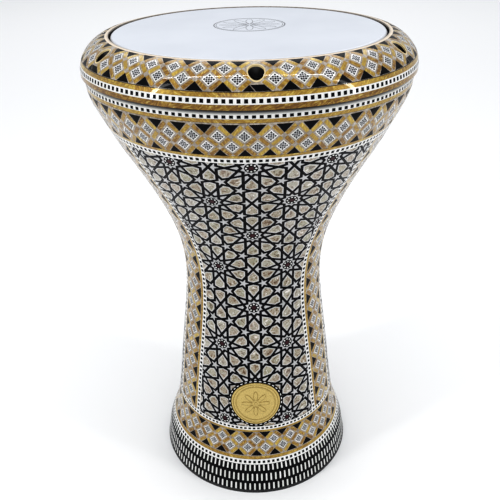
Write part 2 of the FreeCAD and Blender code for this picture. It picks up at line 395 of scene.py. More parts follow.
BLACK = from_screen(8, 8, 11)
INLAYS = {
    Tone.BLACK: Inlay("black_inlay", ((0, BLACK), (1, from_screen(12, 12, 15))),
                      ((0.3, BLACK), (0.8, from_screen(18, 18, 21))), turned=0, roughness=0.35,
                      lacquer=0.14, gloss=0.06),
    Tone.GOLD: Inlay("gold_inlay",
                     ((0, from_screen(100, 62, 22)), (0.3, from_screen(138, 102, 44)),
                      (0.6, from_screen(158, 127, 50)), (1, from_screen(198, 174, 84))),
                     ((0.3, from_screen(68, 42, 12)), (0.46, from_screen(130, 96, 34)),
                      (0.6, from_screen(180, 150, 60)), (0.74, from_screen(250, 236, 150))),
                     (260, 260, 1100), 0.5, 0.32, 0.25, 5.0),
    Tone.PETAL: Inlay("pearl_petal",
                      ((0, from_screen(136, 114, 92)), (0.25, from_screen(174, 170, 162)),
                       (0.5, from_screen(188, 172, 172)), (0.75, from_screen(160, 165, 148)),
                       (1, from_screen(200, 199, 200))),
                      ((0.34, from_screen(66, 44, 22)), (0.43, from_screen(128, 106, 74)),
                       (0.51, from_screen(206, 200, 190)), (0.58, from_screen(132, 132, 100)),
                       (0.68, from_screen(236, 230, 228))),
                      (190, 190, 420), 0.68, 0.28, 0.0, 11.0),
    Tone.CORE: Inlay("pearl_core",
                     ((0, from_screen(98, 64, 36)), (0.2, from_screen(132, 112, 86)),
                      (0.45, from_screen(162, 150, 144)), (0.7, from_screen(122, 126, 98)),
                      (1, from_screen(182, 182, 182))),
                     ((0.32, from_screen(52, 32, 14)), (0.42, from_screen(112, 86, 52)),
                      (0.5, from_screen(190, 182, 166)), (0.57, from_screen(108, 108, 74)),
                      (0.66, from_screen(240, 232, 226))),
                     (260, 260, 480), 0.7, 0.28, 0.0, 11.0),
    Tone.RIM: Inlay("pearl_rim", ((0, from_screen(176, 179, 175)), (1, from_screen(202, 200, 202))),
                    ((0.3, from_screen(156, 157, 152)), (0.7, from_screen(222, 219, 220))),
                    (300, 300, 300), 0.45, 0.3),
    Tone.GREY: Inlay("grey_pearl", ((0, from_screen(166, 167, 167)), (1, from_screen(194, 193, 194))),
                     ((0.3, from_screen(140, 142, 143)), (0.7, from_screen(212, 210, 211))),
                     (200, 200, 500), 0.45, 0.3),
    Tone.WHITE: Inlay("white_inlay", ((0, from_screen(208, 210, 204)), (1, from_screen(232, 230, 230))),
                      ((0.3, from_screen(190, 196, 188)), (0.7, from_screen(242, 238, 238))),
                      (260, 260, 260), 0.4, 0.32),
    Tone.JOINT: Inlay("joint_inlay", ((0, from_screen(146, 136, 124)), (1, from_screen(146, 136, 124))),
                      ((0.3, from_screen(102, 90, 76)), (0.5, from_screen(146, 136, 124)),
                       (0.7, from_screen(200, 192, 180))),
                      (420, 420, 420), 0.7, 0.35, turned=0),
    Tone.MAROON: Inlay("maroon_inlay", ((0, from_screen(48, 18, 26)), (1, from_screen(60, 24, 30))),
                       ((0.3, from_screen(40, 14, 20)), (0.7, from_screen(70, 30, 36))), turned=0,
                       lacquer=0.3, gloss=0.12),
}

CAST = Metal("cast_aluminium", (0.62, 0.62, 0.63), (0.5, 0.5, 0.51), 0.42, bump=0.4)
SATIN = Metal("satin_aluminium", (0.68, 0.68, 0.69), (0.6, 0.6, 0.61), 0.3)
STEEL = Metal("plain_steel", (0.45, 0.45, 0.46), (0.3, 0.3, 0.31), 0.35)
OXIDE = Metal("black_oxide", (0.014, 0.014, 0.016), (0.006, 0.006, 0.007), 0.4, metallic=0.0)
# Near-black coat for the ring casting, which shows only in the screw recesses and the gap under the
# ring; its darkness there is painted shade as well as the coat's colour.
COAT_AND_SHADE = Metal("casting_coat_and_painted_shade", (0.02, 0.02, 0.022), (0.01, 0.01, 0.011), 0.35,
               metallic=0.0, coat=0.3)
BRASS = Metal("polished_brass", (0.64, 0.5, 0.21), (0.52, 0.4, 0.16), 0.26,
              grain=(900, 900, 900), bump=0.1)
# Darker brass for the steep sides of the medallion's relief: painted shade in its creases.
CREASE_SHADE_BRASS = Metal("brass_painted_crease_shade", (0.36, 0.26, 0.09), (0.28, 0.2, 0.07), 0.4,
                   grain=(900, 900, 900), bump=0.1)
RUBBER = Metal("black_rubber", (0.016, 0.016, 0.017), (0.008, 0.008, 0.009), 0.55,
               metallic=0.0, bump=0.3)
RESIN = Metal("cast_resin", (0.5, 0.36, 0.14), (0.36, 0.25, 0.1), 0.2, metallic=0.0, coat=0.5)
INK = Ink("print_ink", from_screen(58, 62, 70), from_screen(46, 50, 58))
FILM = Lined("drum_film", Measure.RADIUS, 0.1099, from_screen(199, 203, 211),
             from_screen(190, 180, 164))
EDGING = Lined("rim_edging", Measure.HEIGHT, 0.3998, from_screen(214, 214, 208), BLACK)
# The trim is near-black inside 113 mm: a painted shadow line in the groove between the film and the
# ring's lip.
TRIM = Lined("cream_trim_painted_shadow", Measure.RADIUS, 0.1130, from_screen(30, 24, 16),
             from_screen(222, 202, 174), clouds=300.0, cloud_share=0.15)
RECESS = Lined("recess_rim", Measure.HEIGHT, 0.5, from_screen(208, 186, 132),
               from_screen(208, 186, 132), clouds=300.0, cloud_share=0.1)


# ---- outlines of the turned bodies ----------------------------------------------------------
class Outline:
    """Outer outline of a turned body, followed by its length along the surface."""

    def __init__(self, nodes: Sequence[str], rays: Sequence[tuple[Corner, Corner]], angle: float,
                 pivot: Corner | None = None) -> None:
        """Feels the outline on CAD nodes.

        Args:
            nodes: nodes whose outer surface is felt.
            rays: start and target of each feeler as (radius, height), in metres.
            angle: where round the axis the feelers lie, in radians.
            pivot: centre that section angles are taken from; None goes by height.
        """
        self.pivot = pivot
        points: list[Vector] = []
        triangles: list[tuple[int, ...]] = []
        for node in nodes:
            mesh = frame["nodes"][node].data
            start = len(points)
            points.extend(vertex.co.copy() for vertex in mesh.vertices)
            triangles.extend(tuple(start + i for i in face.vertices) for face in mesh.polygons)
        tree = BVHTree.FromPolygons(points, triangles)
        felt = []
        for first, last in rays:
            best = None
            for step in range(FEELER_TRIES):
                turn = angle + math.radians(step * FEELER_STEP)
                ends = [round_axis(radius, turn, height) for radius, height in (first, last)]
                hit = tree.ray_cast(ends[0], (ends[1] - ends[0]).normalized())[0]
                if hit is not None:
                    found = (math.hypot(hit.x, hit.y), hit.z)
                    best = found if best is None or self.further(found, best) else best
            if best is not None:
                felt.append(best)
        line = np.array(felt)
        for _ in range(SMOOTHING):
            line[1:-1] = (line[:-2] + 2 * line[1:-1] + line[2:]) / 4
        self.radii, self.heights = line[:, 0], line[:, 1]
        self.lengths = np.concatenate(([0], np.cumsum(np.hypot(*np.diff(line, axis=0).T))))
        along_r = np.gradient(self.radii, self.lengths)
        along_z = np.gradient(self.heights, self.lengths)
        size = np.hypot(along_r, along_z)
        self.out_r, self.out_z = along_z / size, -along_r / size
        self.keys = self.section_key(self.radii, self.heights)

    def further(self, first: Corner, second: Corner) -> bool:
        """Whether a felt point stands further out than another.

        Args:
            first: radius and height of the point.
            second: radius and height of the other.

        Returns:
            True where the first one does.
        """
        if self.pivot is None:
            return first[0] > second[0]
        return math.dist(first, self.pivot) > math.dist(second, self.pivot)

    def section_key(self, radius: np.ndarray, height: np.ndarray) -> np.ndarray:
        """Value that grows along the outline, from a point's radius and height.

        Args:
            radius: radii, in metres.
            height: heights, in metres.

        Returns:
            The heights, or the section angles about the pivot.
        """
        if self.pivot is None:
            return height
        return np.arctan2(height - self.pivot[1], radius - self.pivot[0])

    def length_at(self, height: float) -> float:
        """Length along the outline where it passes a height, in metres."""
        return float(np.interp(height, self.heights, self.lengths))

    def length_near(self, radius: float, height: float) -> float:
        """Length along the outline beside a section point, in metres."""
        return float(np.interp(self.section_key(radius, height), self.keys, self.lengths))

    def radius_at(self, length: float) -> float:
        """Radius at a length along the outline, in metres."""
        return float(np.interp(length, self.lengths, self.radii))

    def lay(self, angle: np.ndarray, length: np.ndarray, proud: np.ndarray) -> np.ndarray:
        """Points on the surface.

        Args:
            angle: turn round the axis from the front, in radians.
            length: length along the outline, in metres.
            proud: height above the surface, in metres.

        Returns:
            An array of points.
        """
        radius = np.interp(length, self.lengths, self.radii)
        height = np.interp(length, self.lengths, self.heights)
        radius = radius + proud * np.interp(length, self.lengths, self.out_r)
        height = height + proud * np.interp(length, self.lengths, self.out_z)
        return np.stack((radius * np.sin(angle), -radius * np.cos(angle), height), axis=1)

    def normals(self, points: np.ndarray) -> np.ndarray:
        """Outward directions of the smooth surface at points on or near it.

        Args:
            points: an array of points, in metres.

        Returns:
            An array of unit directions.
        """
        radius = np.hypot(points[:, 0], points[:, 1])
        keys = self.section_key(radius, points[:, 2])
        out_r = np.interp(keys, self.keys, self.out_r)
        out_z = np.interp(keys, self.keys, self.out_z)
        return np.stack((out_r * points[:, 0] / radius, out_r * points[:, 1] / radius, out_z), axis=1)


def round_axis(radius: float, angle: float, height: float) -> Vector:
    """Point at a radius, an angle from the front and a height."""
    return Vector((radius * math.sin(angle), -radius * math.cos(angle), height))


# ---- flat patterns --------------------------------------------------------------------------
def everything(mesh: bmesh.types.BMesh) -> list[bmesh.types.BMVert | bmesh.types.BMEdge
                                                | bmesh.types.BMFace]:
    """All vertices, edges and faces of a mesh."""
    return [*mesh.verts, *mesh.edges, *mesh.faces]


class Pattern:
    """Tiles laid flat, in millimetres: X and Y on the surface, Z proud of it."""

    def __init__(self) -> None:
        """Starts an empty pattern."""
        self.mesh = bmesh.new()
        self.shade = self.mesh.faces.layers.float.new("shade")
        self.tile = self.mesh.faces.layers.int.new("tile")
        self.count = 0

    def mark(self, faces: Iterable[bmesh.types.BMFace], tone: Tone) -> None:
        """Gives faces a tone and the number of the tile that they belong to.

        Args:
            faces: the faces.
            tone: what they are made of.
        """
        for face in faces:
            face.material_index = tone
            face[self.tile] = self.count

    def polygon(self, corners: Sequence[Corner], tone: Tone, gap: float = 0,
                rims: Sequence[tuple[float, Tone]] = (), proud: float = 0) -> None:
        """One tile with straight sides.

        Args:
            corners: the outline of its bed, anticlockwise.
            tone: what the tile is made of.
            gap: how far it keeps inside its bed.
            rims: width and kind of each border, from the outside in.
            proud: its height above the surface.
        """
        self.count += 1
        face = self.mesh.faces.new([self.mesh.verts.new((x, y, proud)) for x, y in corners])
        self.mark([face], tone)
        face.normal_update()
        if gap:
            waste = bmesh.ops.inset_individual(self.mesh, faces=[face], thickness=gap,
                                               use_even_offset=True)["faces"]
            bmesh.ops.delete(self.mesh, geom=waste, context="FACES")
        for width, border_tone in rims:
            border = bmesh.ops.inset_individual(self.mesh, faces=[face], thickness=width,
                                                use_even_offset=True)["faces"]
            self.mark(border, border_tone)

    def grid(self, columns: Sequence[float], rows: Sequence[float], place: Matrix,
             tone: Callable[[int, int], Tone]) -> None:
        """One tile divided by lines into fields.

        Args:
            columns: where the lines across X lie.
            rows: where the lines across Y lie.
            place: where the tile goes.
            tone: what the field in a column and a row is made of.
        """
        self.count += 1
        across, up = len(columns) - 1, len(rows) - 1
        made = bmesh.ops.create_grid(self.mesh, x_segments=across, y_segments=up, size=1)["verts"]
        faces = {face for vertex in made for face in vertex.link_faces}
        for face in faces:
            middle = face.calc_center_median()
            field = (int((middle.x + 1) / 2 * across), int((middle.y + 1) / 2 * up))
            self.mark([face], tone(*field))
        for vertex in made:
            column = round((vertex.co.x + 1) / 2 * across)
            row = round((vertex.co.y + 1) / 2 * up)
            vertex.co = (columns[column], rows[row], 0)
        bmesh.ops.transform(self.mesh, matrix=place, verts=made)

    def spin(self, section: Sequence[Corner], steps: int, closed: bool = False) -> None:
        """Turns a section all the way round Z.

        Args:
            section: radii and heights of its corners.
            steps: number of steps in the turn.
            closed: whether its last corner is joined to its first.
        """
        points = [self.mesh.verts.new((x, 0, z)) for x, z in section]
        ends = points[1:] + points[:1] if closed else points[1:]
        edges = [self.mesh.edges.new(pair) for pair in zip(points, ends)]
        bmesh.ops.spin(self.mesh, geom=points + edges, cent=(0, 0, 0), axis=(0, 0, 1),
                       angle=math.tau, steps=steps, use_merge=True)
        bmesh.ops.remove_doubles(self.mesh, verts=self.mesh.verts, dist=1e-4)
        bmesh.ops.recalc_face_normals(self.mesh, faces=self.mesh.faces)

    def trim(self, low: float, high: float) -> None:
        """Cuts away what lies below one line and above another.

        Args:
            low: the lower line.
            high: the upper line.
        """
        for line, direction in ((low, -1), (high, 1)):
            bmesh.ops.bisect_plane(self.mesh, geom=everything(self.mesh), plane_co=(0, line, 0),
                                   plane_no=(0, direction, 0), dist=0.001, clear_outer=True)

    def thicken(self, depth: float) -> None:
        """Makes every tile a closed slab that reaches down by a depth.

        Args:
            depth: the thickness.
        """
        faces = list(self.mesh.faces)
        made = bmesh.ops.extrude_face_region(self.mesh, geom=faces, use_keep_orig=True)["geom"]
        low = [item for item in made if isinstance(item, bmesh.types.BMVert)]
        bmesh.ops.translate(self.mesh, vec=(0, 0, -depth), verts=low)
        bmesh.ops.recalc_face_normals(self.mesh, faces=list(self.mesh.faces))

    def cut(self, step_x: float, step_y: float) -> None:
        """Cuts the tiles by even lines, so that they can bend.

        Args:
            step_x: distance between the lines across X; 0 for none.
            step_y: distance between the lines across Y; 0 for none.
        """
        for axis, step in ((0, step_x), (1, step_y)):
            if not step:
                continue
            spans = [vertex.co[axis] for vertex in self.mesh.verts]
            for line in range(math.ceil(min(spans) / step), math.floor(max(spans) / step) + 1):
                place, direction = Vector((0, 0, 0)), Vector((0, 0, 0))
                place[axis], direction[axis] = line * step, 1
                bmesh.ops.bisect_plane(self.mesh, geom=everything(self.mesh), plane_co=place,
                                       plane_no=direction, dist=0.01)

    def repeat(self, places: Sequence[Matrix], chance: random.Random,
               span: Corner = (0, 1)) -> "Pattern":
        """Lays copies of the pattern and shades each tile of each copy by chance.

        Args:
            places: where the copies go.
            chance: draws the shades.
            span: darkest and lightest shade.

        Returns:
            The pattern with all its copies.
        """
        sheet = bpy.data.meshes.new("cell")
        self.mesh.to_mesh(sheet)
        whole = Pattern()
        for place in places:
            first = len(whole.mesh.verts), len(whole.mesh.faces)
            whole.mesh.from_mesh(sheet)
            whole.mesh.verts.ensure_lookup_table()
            whole.mesh.faces.ensure_lookup_table()
            bmesh.ops.transform(whole.mesh, matrix=place, verts=whole.mesh.verts[first[0]:])
            shades = [chance.uniform(*span) for _ in range(self.count + 1)]
            for face in whole.mesh.faces[first[1]:]:
                face[whole.shade] = shades[face[whole.tile]]
        bpy.data.meshes.remove(sheet)
        self.mesh.free()
        return whole

    def add(self, other: "Pattern") -> None:
        """Takes another pattern's tiles over.

        Args:
            other: the pattern, which is used up.
        """
        sheet = bpy.data.meshes.new("part")
        other.mesh.to_mesh(sheet)
        self.mesh.from_mesh(sheet)
        bpy.data.meshes.remove(sheet)
        other.mesh.free()


def shifts(along: Sequence[float]) -> list[Matrix]:
    """Moves along X."""
    return [Matrix.Translation((x, 0, 0)) for x in along]


# ---- border patterns ------------------------------------------------------------------------
class TapeKind(Enum):
    """Plain and dotted tapes along a border."""

    GOLD = "gold"
    DOTTED = "dotted"


@dataclass
class Tape:
    """A straight tape between two lines across a border, in millimetres."""

    kind: TapeKind
    low: float
    high: float
    repeats: int = 0
    dot_share: float = 0.54
    edge_share: float = 0.2
    shades: Corner = (0.45, 0.85)
    plain_pitch: float = 15.0

    def lay(self, pattern: Pattern, length: float, chance: random.Random) -> None:
        """Lays the tape's tiles.

        Args:
            pattern: the pattern that takes them.
            length: length of the border.
            chance: draws the shades.
        """
        cell = Pattern()
        if self.kind is TapeKind.DOTTED:
            pitch = length / self.repeats
            half = pitch * self.dot_share / 2
            edge = (self.high - self.low) * self.edge_share
            cell.grid((-pitch / 2, -half, half, pitch / 2),
                      (self.low, self.low + edge, self.high - edge, self.high), Matrix(),
                      lambda i, j: Tone.BLACK if (i, j) == (1, 1) else Tone.WHITE)
        else:
            pitch = length / max(1, round(length / self.plain_pitch))
            cell.grid((-pitch / 2, 0, pitch / 2), (self.low, self.high), Matrix(),
                      lambda i, j: Tone.GOLD)
        cell.thicken(TILE_DEPTH)
        count = round(length / pitch)
        places = shifts([-length / 2 + (i + 0.5) * pitch for i in range(count)])
        pattern.add(cell.repeat(places, chance, self.shades))


@dataclass
class Border:
    """Two rows of chequered diamonds in a gold lattice, between black triangles and tapes."""

    length: float
    repeats: int
    low_row: float
    high_row: float
    tapes: Sequence[Tape]
    field: Corner
    offset: float = 0.0
    diamond_share: float = 0.55
    frame_share: float = 0.2
    fields: Corner = (1.1, 0.85)
    triangle_shares: Corner = (0.64, 0.74)
    bar_half: float = 1.45
    joint_share: float = 0.15
    cut_along: float = FIELD
    cut_across: float = 4.0

    def rise(self) -> float:
        """Distance between the rows."""
        return self.high_row - self.low_row

    def diamond(self, cell: Pattern, x: float, y: float) -> None:
        """A diamond: a white frame round a black and grey chequer of five by five fields.

        Args:
            cell: the pattern that takes the tile.
            x: its middle along the border.
            y: its middle across the border.
        """
        share = self.diamond_share
        half_x, half_y = self.length / self.repeats / 2 * share, self.rise() * share
        frame_matrix = Matrix(((half_x / 2, half_x / 2, 0, x), (-half_y / 2, half_y / 2, 0, y),
                               (0, 0, 1, 0), (0, 0, 0, 1)))
        inside = 1 - self.frame_share
        wide, thin = self.fields
        edges = [0.0]
        for number in range(5):
            edges.append(edges[-1] + (thin if number % 2 else wide))
        lines = [-1, *(inside * (2 * edge / edges[-1] - 1) for edge in edges), 1]
        cell.grid(lines, lines, frame_matrix, chequer)

    def triangle(self, cell: Pattern, x: float, base: float, point: float) -> None:
        """A black triangle with its base on a line.

        Args:
            cell: the pattern that takes the tile.
            x: its middle along the border.
            base: the line that its base is on.
            point: 1 where it points up, -1 where it points down.
        """
        wide, tall = self.triangle_shares
        half = self.length / self.repeats / 2 * wide
        tip = base + point * self.rise() * tall
        corners = [(x - half, base), (x + half, base), (x, tip)]
        cell.polygon(corners if point > 0 else corners[::-1], Tone.BLACK)

    def bar(self, cell: Pattern, start: Corner, end: Corner) -> None:
        """A gold bar of the lattice between two crossings.

        Args:
            cell: the pattern that takes the tile.
            start: the crossing where it starts.
            end: the crossing where it ends.
        """
        half_pitch, rise = self.length / self.repeats / 2, self.rise()
        along = Vector((end[0] - start[0], end[1] - start[1]))
        other = Vector((along.x, -along.y))
        wide = self.bar_half * along.length / (2 * half_pitch * rise)
        middle = Vector(((start[0] + end[0]) / 2, (start[1] + end[1]) / 2))
        reach = along * (0.5 - self.joint_share)
        side = other * wide
        corners = [middle - reach - side, middle + reach - side, middle + reach + side,
                   middle - reach + side]
        if (corners[1] - corners[0]).cross(corners[2] - corners[1]) < 0:
            corners.reverse()
        cell.polygon([tuple(corner) for corner in corners], Tone.GOLD)

    def cell(self) -> Pattern:
        """One repeat of the lattice.

        Returns:
            The repeat's tiles.
        """
        cell = Pattern()
        half, low, high, rise = (self.length / self.repeats / 2, self.low_row, self.high_row,
                                 self.rise())
        self.diamond(cell, 0, low)
        self.diamond(cell, half, high)
        self.triangle(cell, half, low - rise, 1)
        self.triangle(cell, 0, high + rise, -1)
        for side in (-half, half):
            self.bar(cell, (0, low - rise), (side, low))
            self.bar(cell, (half, low), (half + side, high))
            self.bar(cell, (0, high), (side, high + rise))
        cell.trim(*self.field)
        cell.thicken(TILE_DEPTH)
        cell.cut(self.cut_along, self.cut_across)
        return cell

    def pattern(self, chance: random.Random) -> Pattern:
        """The whole border, laid flat.

        Args:
            chance: draws the shades.

        Returns:
            The border's tiles.
        """
        pitch = self.length / self.repeats
        starts = [self.offset - self.length / 2 + i * pitch for i in range(self.repeats)]
        whole = self.cell().repeat(shifts(starts), chance)
        for tape in self.tapes:
            tape.lay(whole, self.length, chance)
        return whole


def chequer(column: int, row: int) -> Tone:
    """Fields of a diamond: a white frame round black and grey squares.

    Args:
        column: the field's column, from 0.
        row: the field's row, from 0.

    Returns:
        What the field is made of.
    """
    if column in (0, 6) or row in (0, 6):
        return Tone.WHITE
    return Tone.BLACK if (column + row) % 2 == 0 else Tone.GREY


@dataclass(frozen=True)
class Layer:
    """What lies under the tiles: height of its face, thickness and kind."""

    proud: float
    depth: float
    tone: Tone


GROUND = Layer(-0.16, 0.95, Tone.BLACK)
JOINTS = Layer(-0.05, 0.08, Tone.JOINT)


def sheet(low: float, high: float, length: float, layer: Layer, step_up: float = FIELD) -> Pattern:
    """A plain slab under the tiles.

    Args:
        low: its lower line.
        high: its upper line.
        length: its length along X, about the middle.
        layer: which layer it is.
        step_up: size along Y of the fields that it bends by.

    Returns:
        The slab as a pattern.
    """
    columns = max(2, round(length / FIELD))
    rows = max(1, round((high - low) / step_up))
    pattern = Pattern()
    pattern.grid([-length / 2 + length * i / columns for i in range(columns + 1)],
                 [low + (high - low) * i / rows for i in range(rows + 1)],
                 Matrix.Translation((0, 0, layer.proud)), lambda i, j: layer.tone)
    pattern.thicken(layer.depth)
    return pattern


# ---- pieces ---------------------------------------------------------------------------------
class Palette:
    """Materials made once each."""

    def __init__(self) -> None:
        """Mixes the inlays."""
        self.inlays = [INLAYS[tone].material() for tone in Tone]
        self.others: dict[str, bpy.types.Material] = {}

    def take(self, finish: Metal | Ink | Lined) -> bpy.types.Material:
        """The material of a finish, mixed at its first use.

        Args:
            finish: the finish.

        Returns:
            Its material.
        """
        if finish.name not in self.others:
            self.others[finish.name] = finish.material()
        return self.others[finish.name]

    def dress(self, node: str, material: bpy.types.Material) -> None:
        """Gives a CAD node its material.

        Args:
            node: the node's name.
            material: the material.
        """
        for slot in frame["nodes"][node].material_slots:
            slot.material = material
        LOG.info("dressed %s", node)


def finish_piece(mesh: bmesh.types.BMesh, name: str, materials: Sequence[bpy.types.Material],
                 body: str, stands_for: Sequence[str] = (),
                 outline: Outline | None = None) -> bpy.types.Object:
    """Turns a mesh into a piece of the drum.

    Args:
        mesh: the finished mesh, in metres.
        name: the piece's name.
        materials: its materials.
        body: the body that it rides on.
        stands_for: CAD nodes that it stands for.
        outline: surface whose smooth directions its outer faces take.

    Returns:
        The piece.
    """
    data = bpy.data.meshes.new(name)
    mesh.to_mesh(data)
    mesh.free()
    for material in materials:
        data.materials.append(material)
    data.shade_smooth()
    if outline is not None:
        points = np.empty(len(data.vertices) * 3)
        data.vertices.foreach_get("co", points)
        smooth = outline.normals(points.reshape(-1, 3))
        corners = np.empty(len(data.loops), dtype=int)
        data.loops.foreach_get("vertex_index", corners)
        loops = smooth[corners]
        for face in data.polygons:
            direction = np.array(face.normal)
            span = slice(face.loop_start, face.loop_start + face.loop_total)
            if direction @ smooth[face.vertices[0]] < 0.8:
                loops[span] = direction
        data.normals_split_custom_set(loops.tolist())
    piece = bpy.data.objects.new(name, data)
    bpy.context.scene.collection.objects.link(piece)
    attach(piece, body)
    if stands_for:
        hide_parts(*stands_for)
    LOG.info("%s: %d faces", name, len(data.polygons))
    return piece


def bend(pattern: Pattern, outline: Outline,
         turn: Callable[[np.ndarray, np.ndarray], np.ndarray]) -> None:
    """Bends a flat pattern round the drum.

    Args:
        pattern: the pattern, in millimetres, with Y as length along the outline.
        outline: the outline that it follows.
        turn: gives the angles from X in metres and the radii.
    """
    flat = np.array([vertex.co for vertex in pattern.mesh.verts]) * MM
    radii = np.interp(flat[:, 1], outline.lengths, outline.radii)
    bent = outline.lay(turn(flat[:, 0], radii), flat[:, 1], flat[:, 2])
    for vertex, place in zip(pattern.mesh.verts, bent):
        vertex.co = place


def crop(mesh: bmesh.types.BMesh, place: Vector, outward: Vector) -> None:
    """Cuts away what lies beyond a plane and closes the cut tiles.

    Args:
        mesh: the bent mesh, in metres.
        place: a point on the plane.
        outward: direction in which the mesh is cut away.
    """
    cut = bmesh.ops.bisect_plane(mesh, geom=everything(mesh), plane_co=place, plane_no=outward,
                                 dist=1e-7, clear_outer=True)["geom_cut"]
    edges = [item for item in cut if isinstance(item, bmesh.types.BMEdge) and item.is_boundary]
    bmesh.ops.holes_fill(mesh, edges=edges, sides=0)


def crop_between(mesh: bmesh.types.BMesh, low: float, high: float) -> None:
    """Cuts away what lies above or below two heights, in metres."""
    crop(mesh, Vector((0, 0, high)), Vector((0, 0, 1)))
    crop(mesh, Vector((0, 0, low)), Vector((0, 0, -1)))


def open_ends(mesh: bmesh.types.BMesh, length: float) -> None:
    """Opens the ends of a slab that goes all the way round, so that they can be joined.

    Args:
        mesh: the flat mesh.
        length: its length along X, about the middle.
    """
    ends = [face for face in mesh.faces
            if all(abs(abs(vertex.co.x) - length / 2) < TINY for vertex in face.verts)]
    bmesh.ops.delete(mesh, geom=ends, context="FACES_ONLY")


@dataclass
class TurnedBand:
    """A band of mosaic that goes all the way round a turned body."""

    name: str
    body: str
    slot: str
    outline: Outline
    low: float
    high: float
    step_up: float = FIELD

    def length(self) -> float:
        """Length round the middle of the band, in millimetres."""
        middle = (self.low + self.high) / 2
        return 2 * math.pi * self.outline.radius_at(middle * MM) / MM

    def build(self, tiles: Sequence[Pattern], joints: Sequence[Corner],
              materials: Sequence[bpy.types.Material],
              holes: Sequence[tuple[Vector, float]] = ()) -> bpy.types.Object:
        """Bends the tiles, the light sheets under them and the black ground.

        Args:
            tiles: flat patterns, in millimetres, X about the front.
            joints: lower and upper line of each light sheet.
            materials: the mosaic's materials.
            holes: centre and radius of each upright hole, in metres.

        Returns:
            The band.
        """
        length = self.length()
        whole = Pattern()
        slabs = [sheet(self.low, self.high, length, GROUND, self.step_up)]
        slabs += [sheet(low, high, length, JOINTS, self.step_up) for low, high in joints]
        for slab in slabs:
            open_ends(slab.mesh, length)
            whole.add(slab)
        for tile in tiles:
            whole.add(tile)
        bend(whole, self.outline, lambda x, radii: x / (length * MM) * 2 * math.pi)
        behind = [vertex for vertex in whole.mesh.verts
                  if vertex.co.y > 0 and abs(vertex.co.x) < 2 * TINY]
        bmesh.ops.remove_doubles(whole.mesh, verts=behind, dist=2e-6)
        for place, radius in holes:
            punch(whole.mesh, place, radius)
        return finish_piece(whole.mesh, self.name, materials, self.body,
                            [self.name], self.outline)


def punch(mesh: bmesh.types.BMesh, place: Vector, radius: float) -> None:
    """Cuts an upright round hole.

    Args:
        mesh: the bent mesh, in metres.
        place: a point on the hole's axis.
        radius: the hole's radius.
    """
    sides, margin = 20, 4 * MM
    for side in range(sides):
        angle = side * math.tau / sides
        out = Vector((math.cos(angle), math.sin(angle), 0))
        near = [face for face in mesh.faces
                if math.hypot(*(face.calc_center_median() - place).xy) < radius + margin]
        geometry = {item for face in near for item in (*face.verts, *face.edges)} | set(near)
        bmesh.ops.bisect_plane(mesh, geom=list(geometry), plane_co=place + out * radius,
                               plane_no=out, dist=1e-7)
    inside = [face for face in mesh.faces
              if math.hypot(*(face.calc_center_median() - place).xy) < radius * 0.999]
    bmesh.ops.delete(mesh, geom=inside, context="FACES")


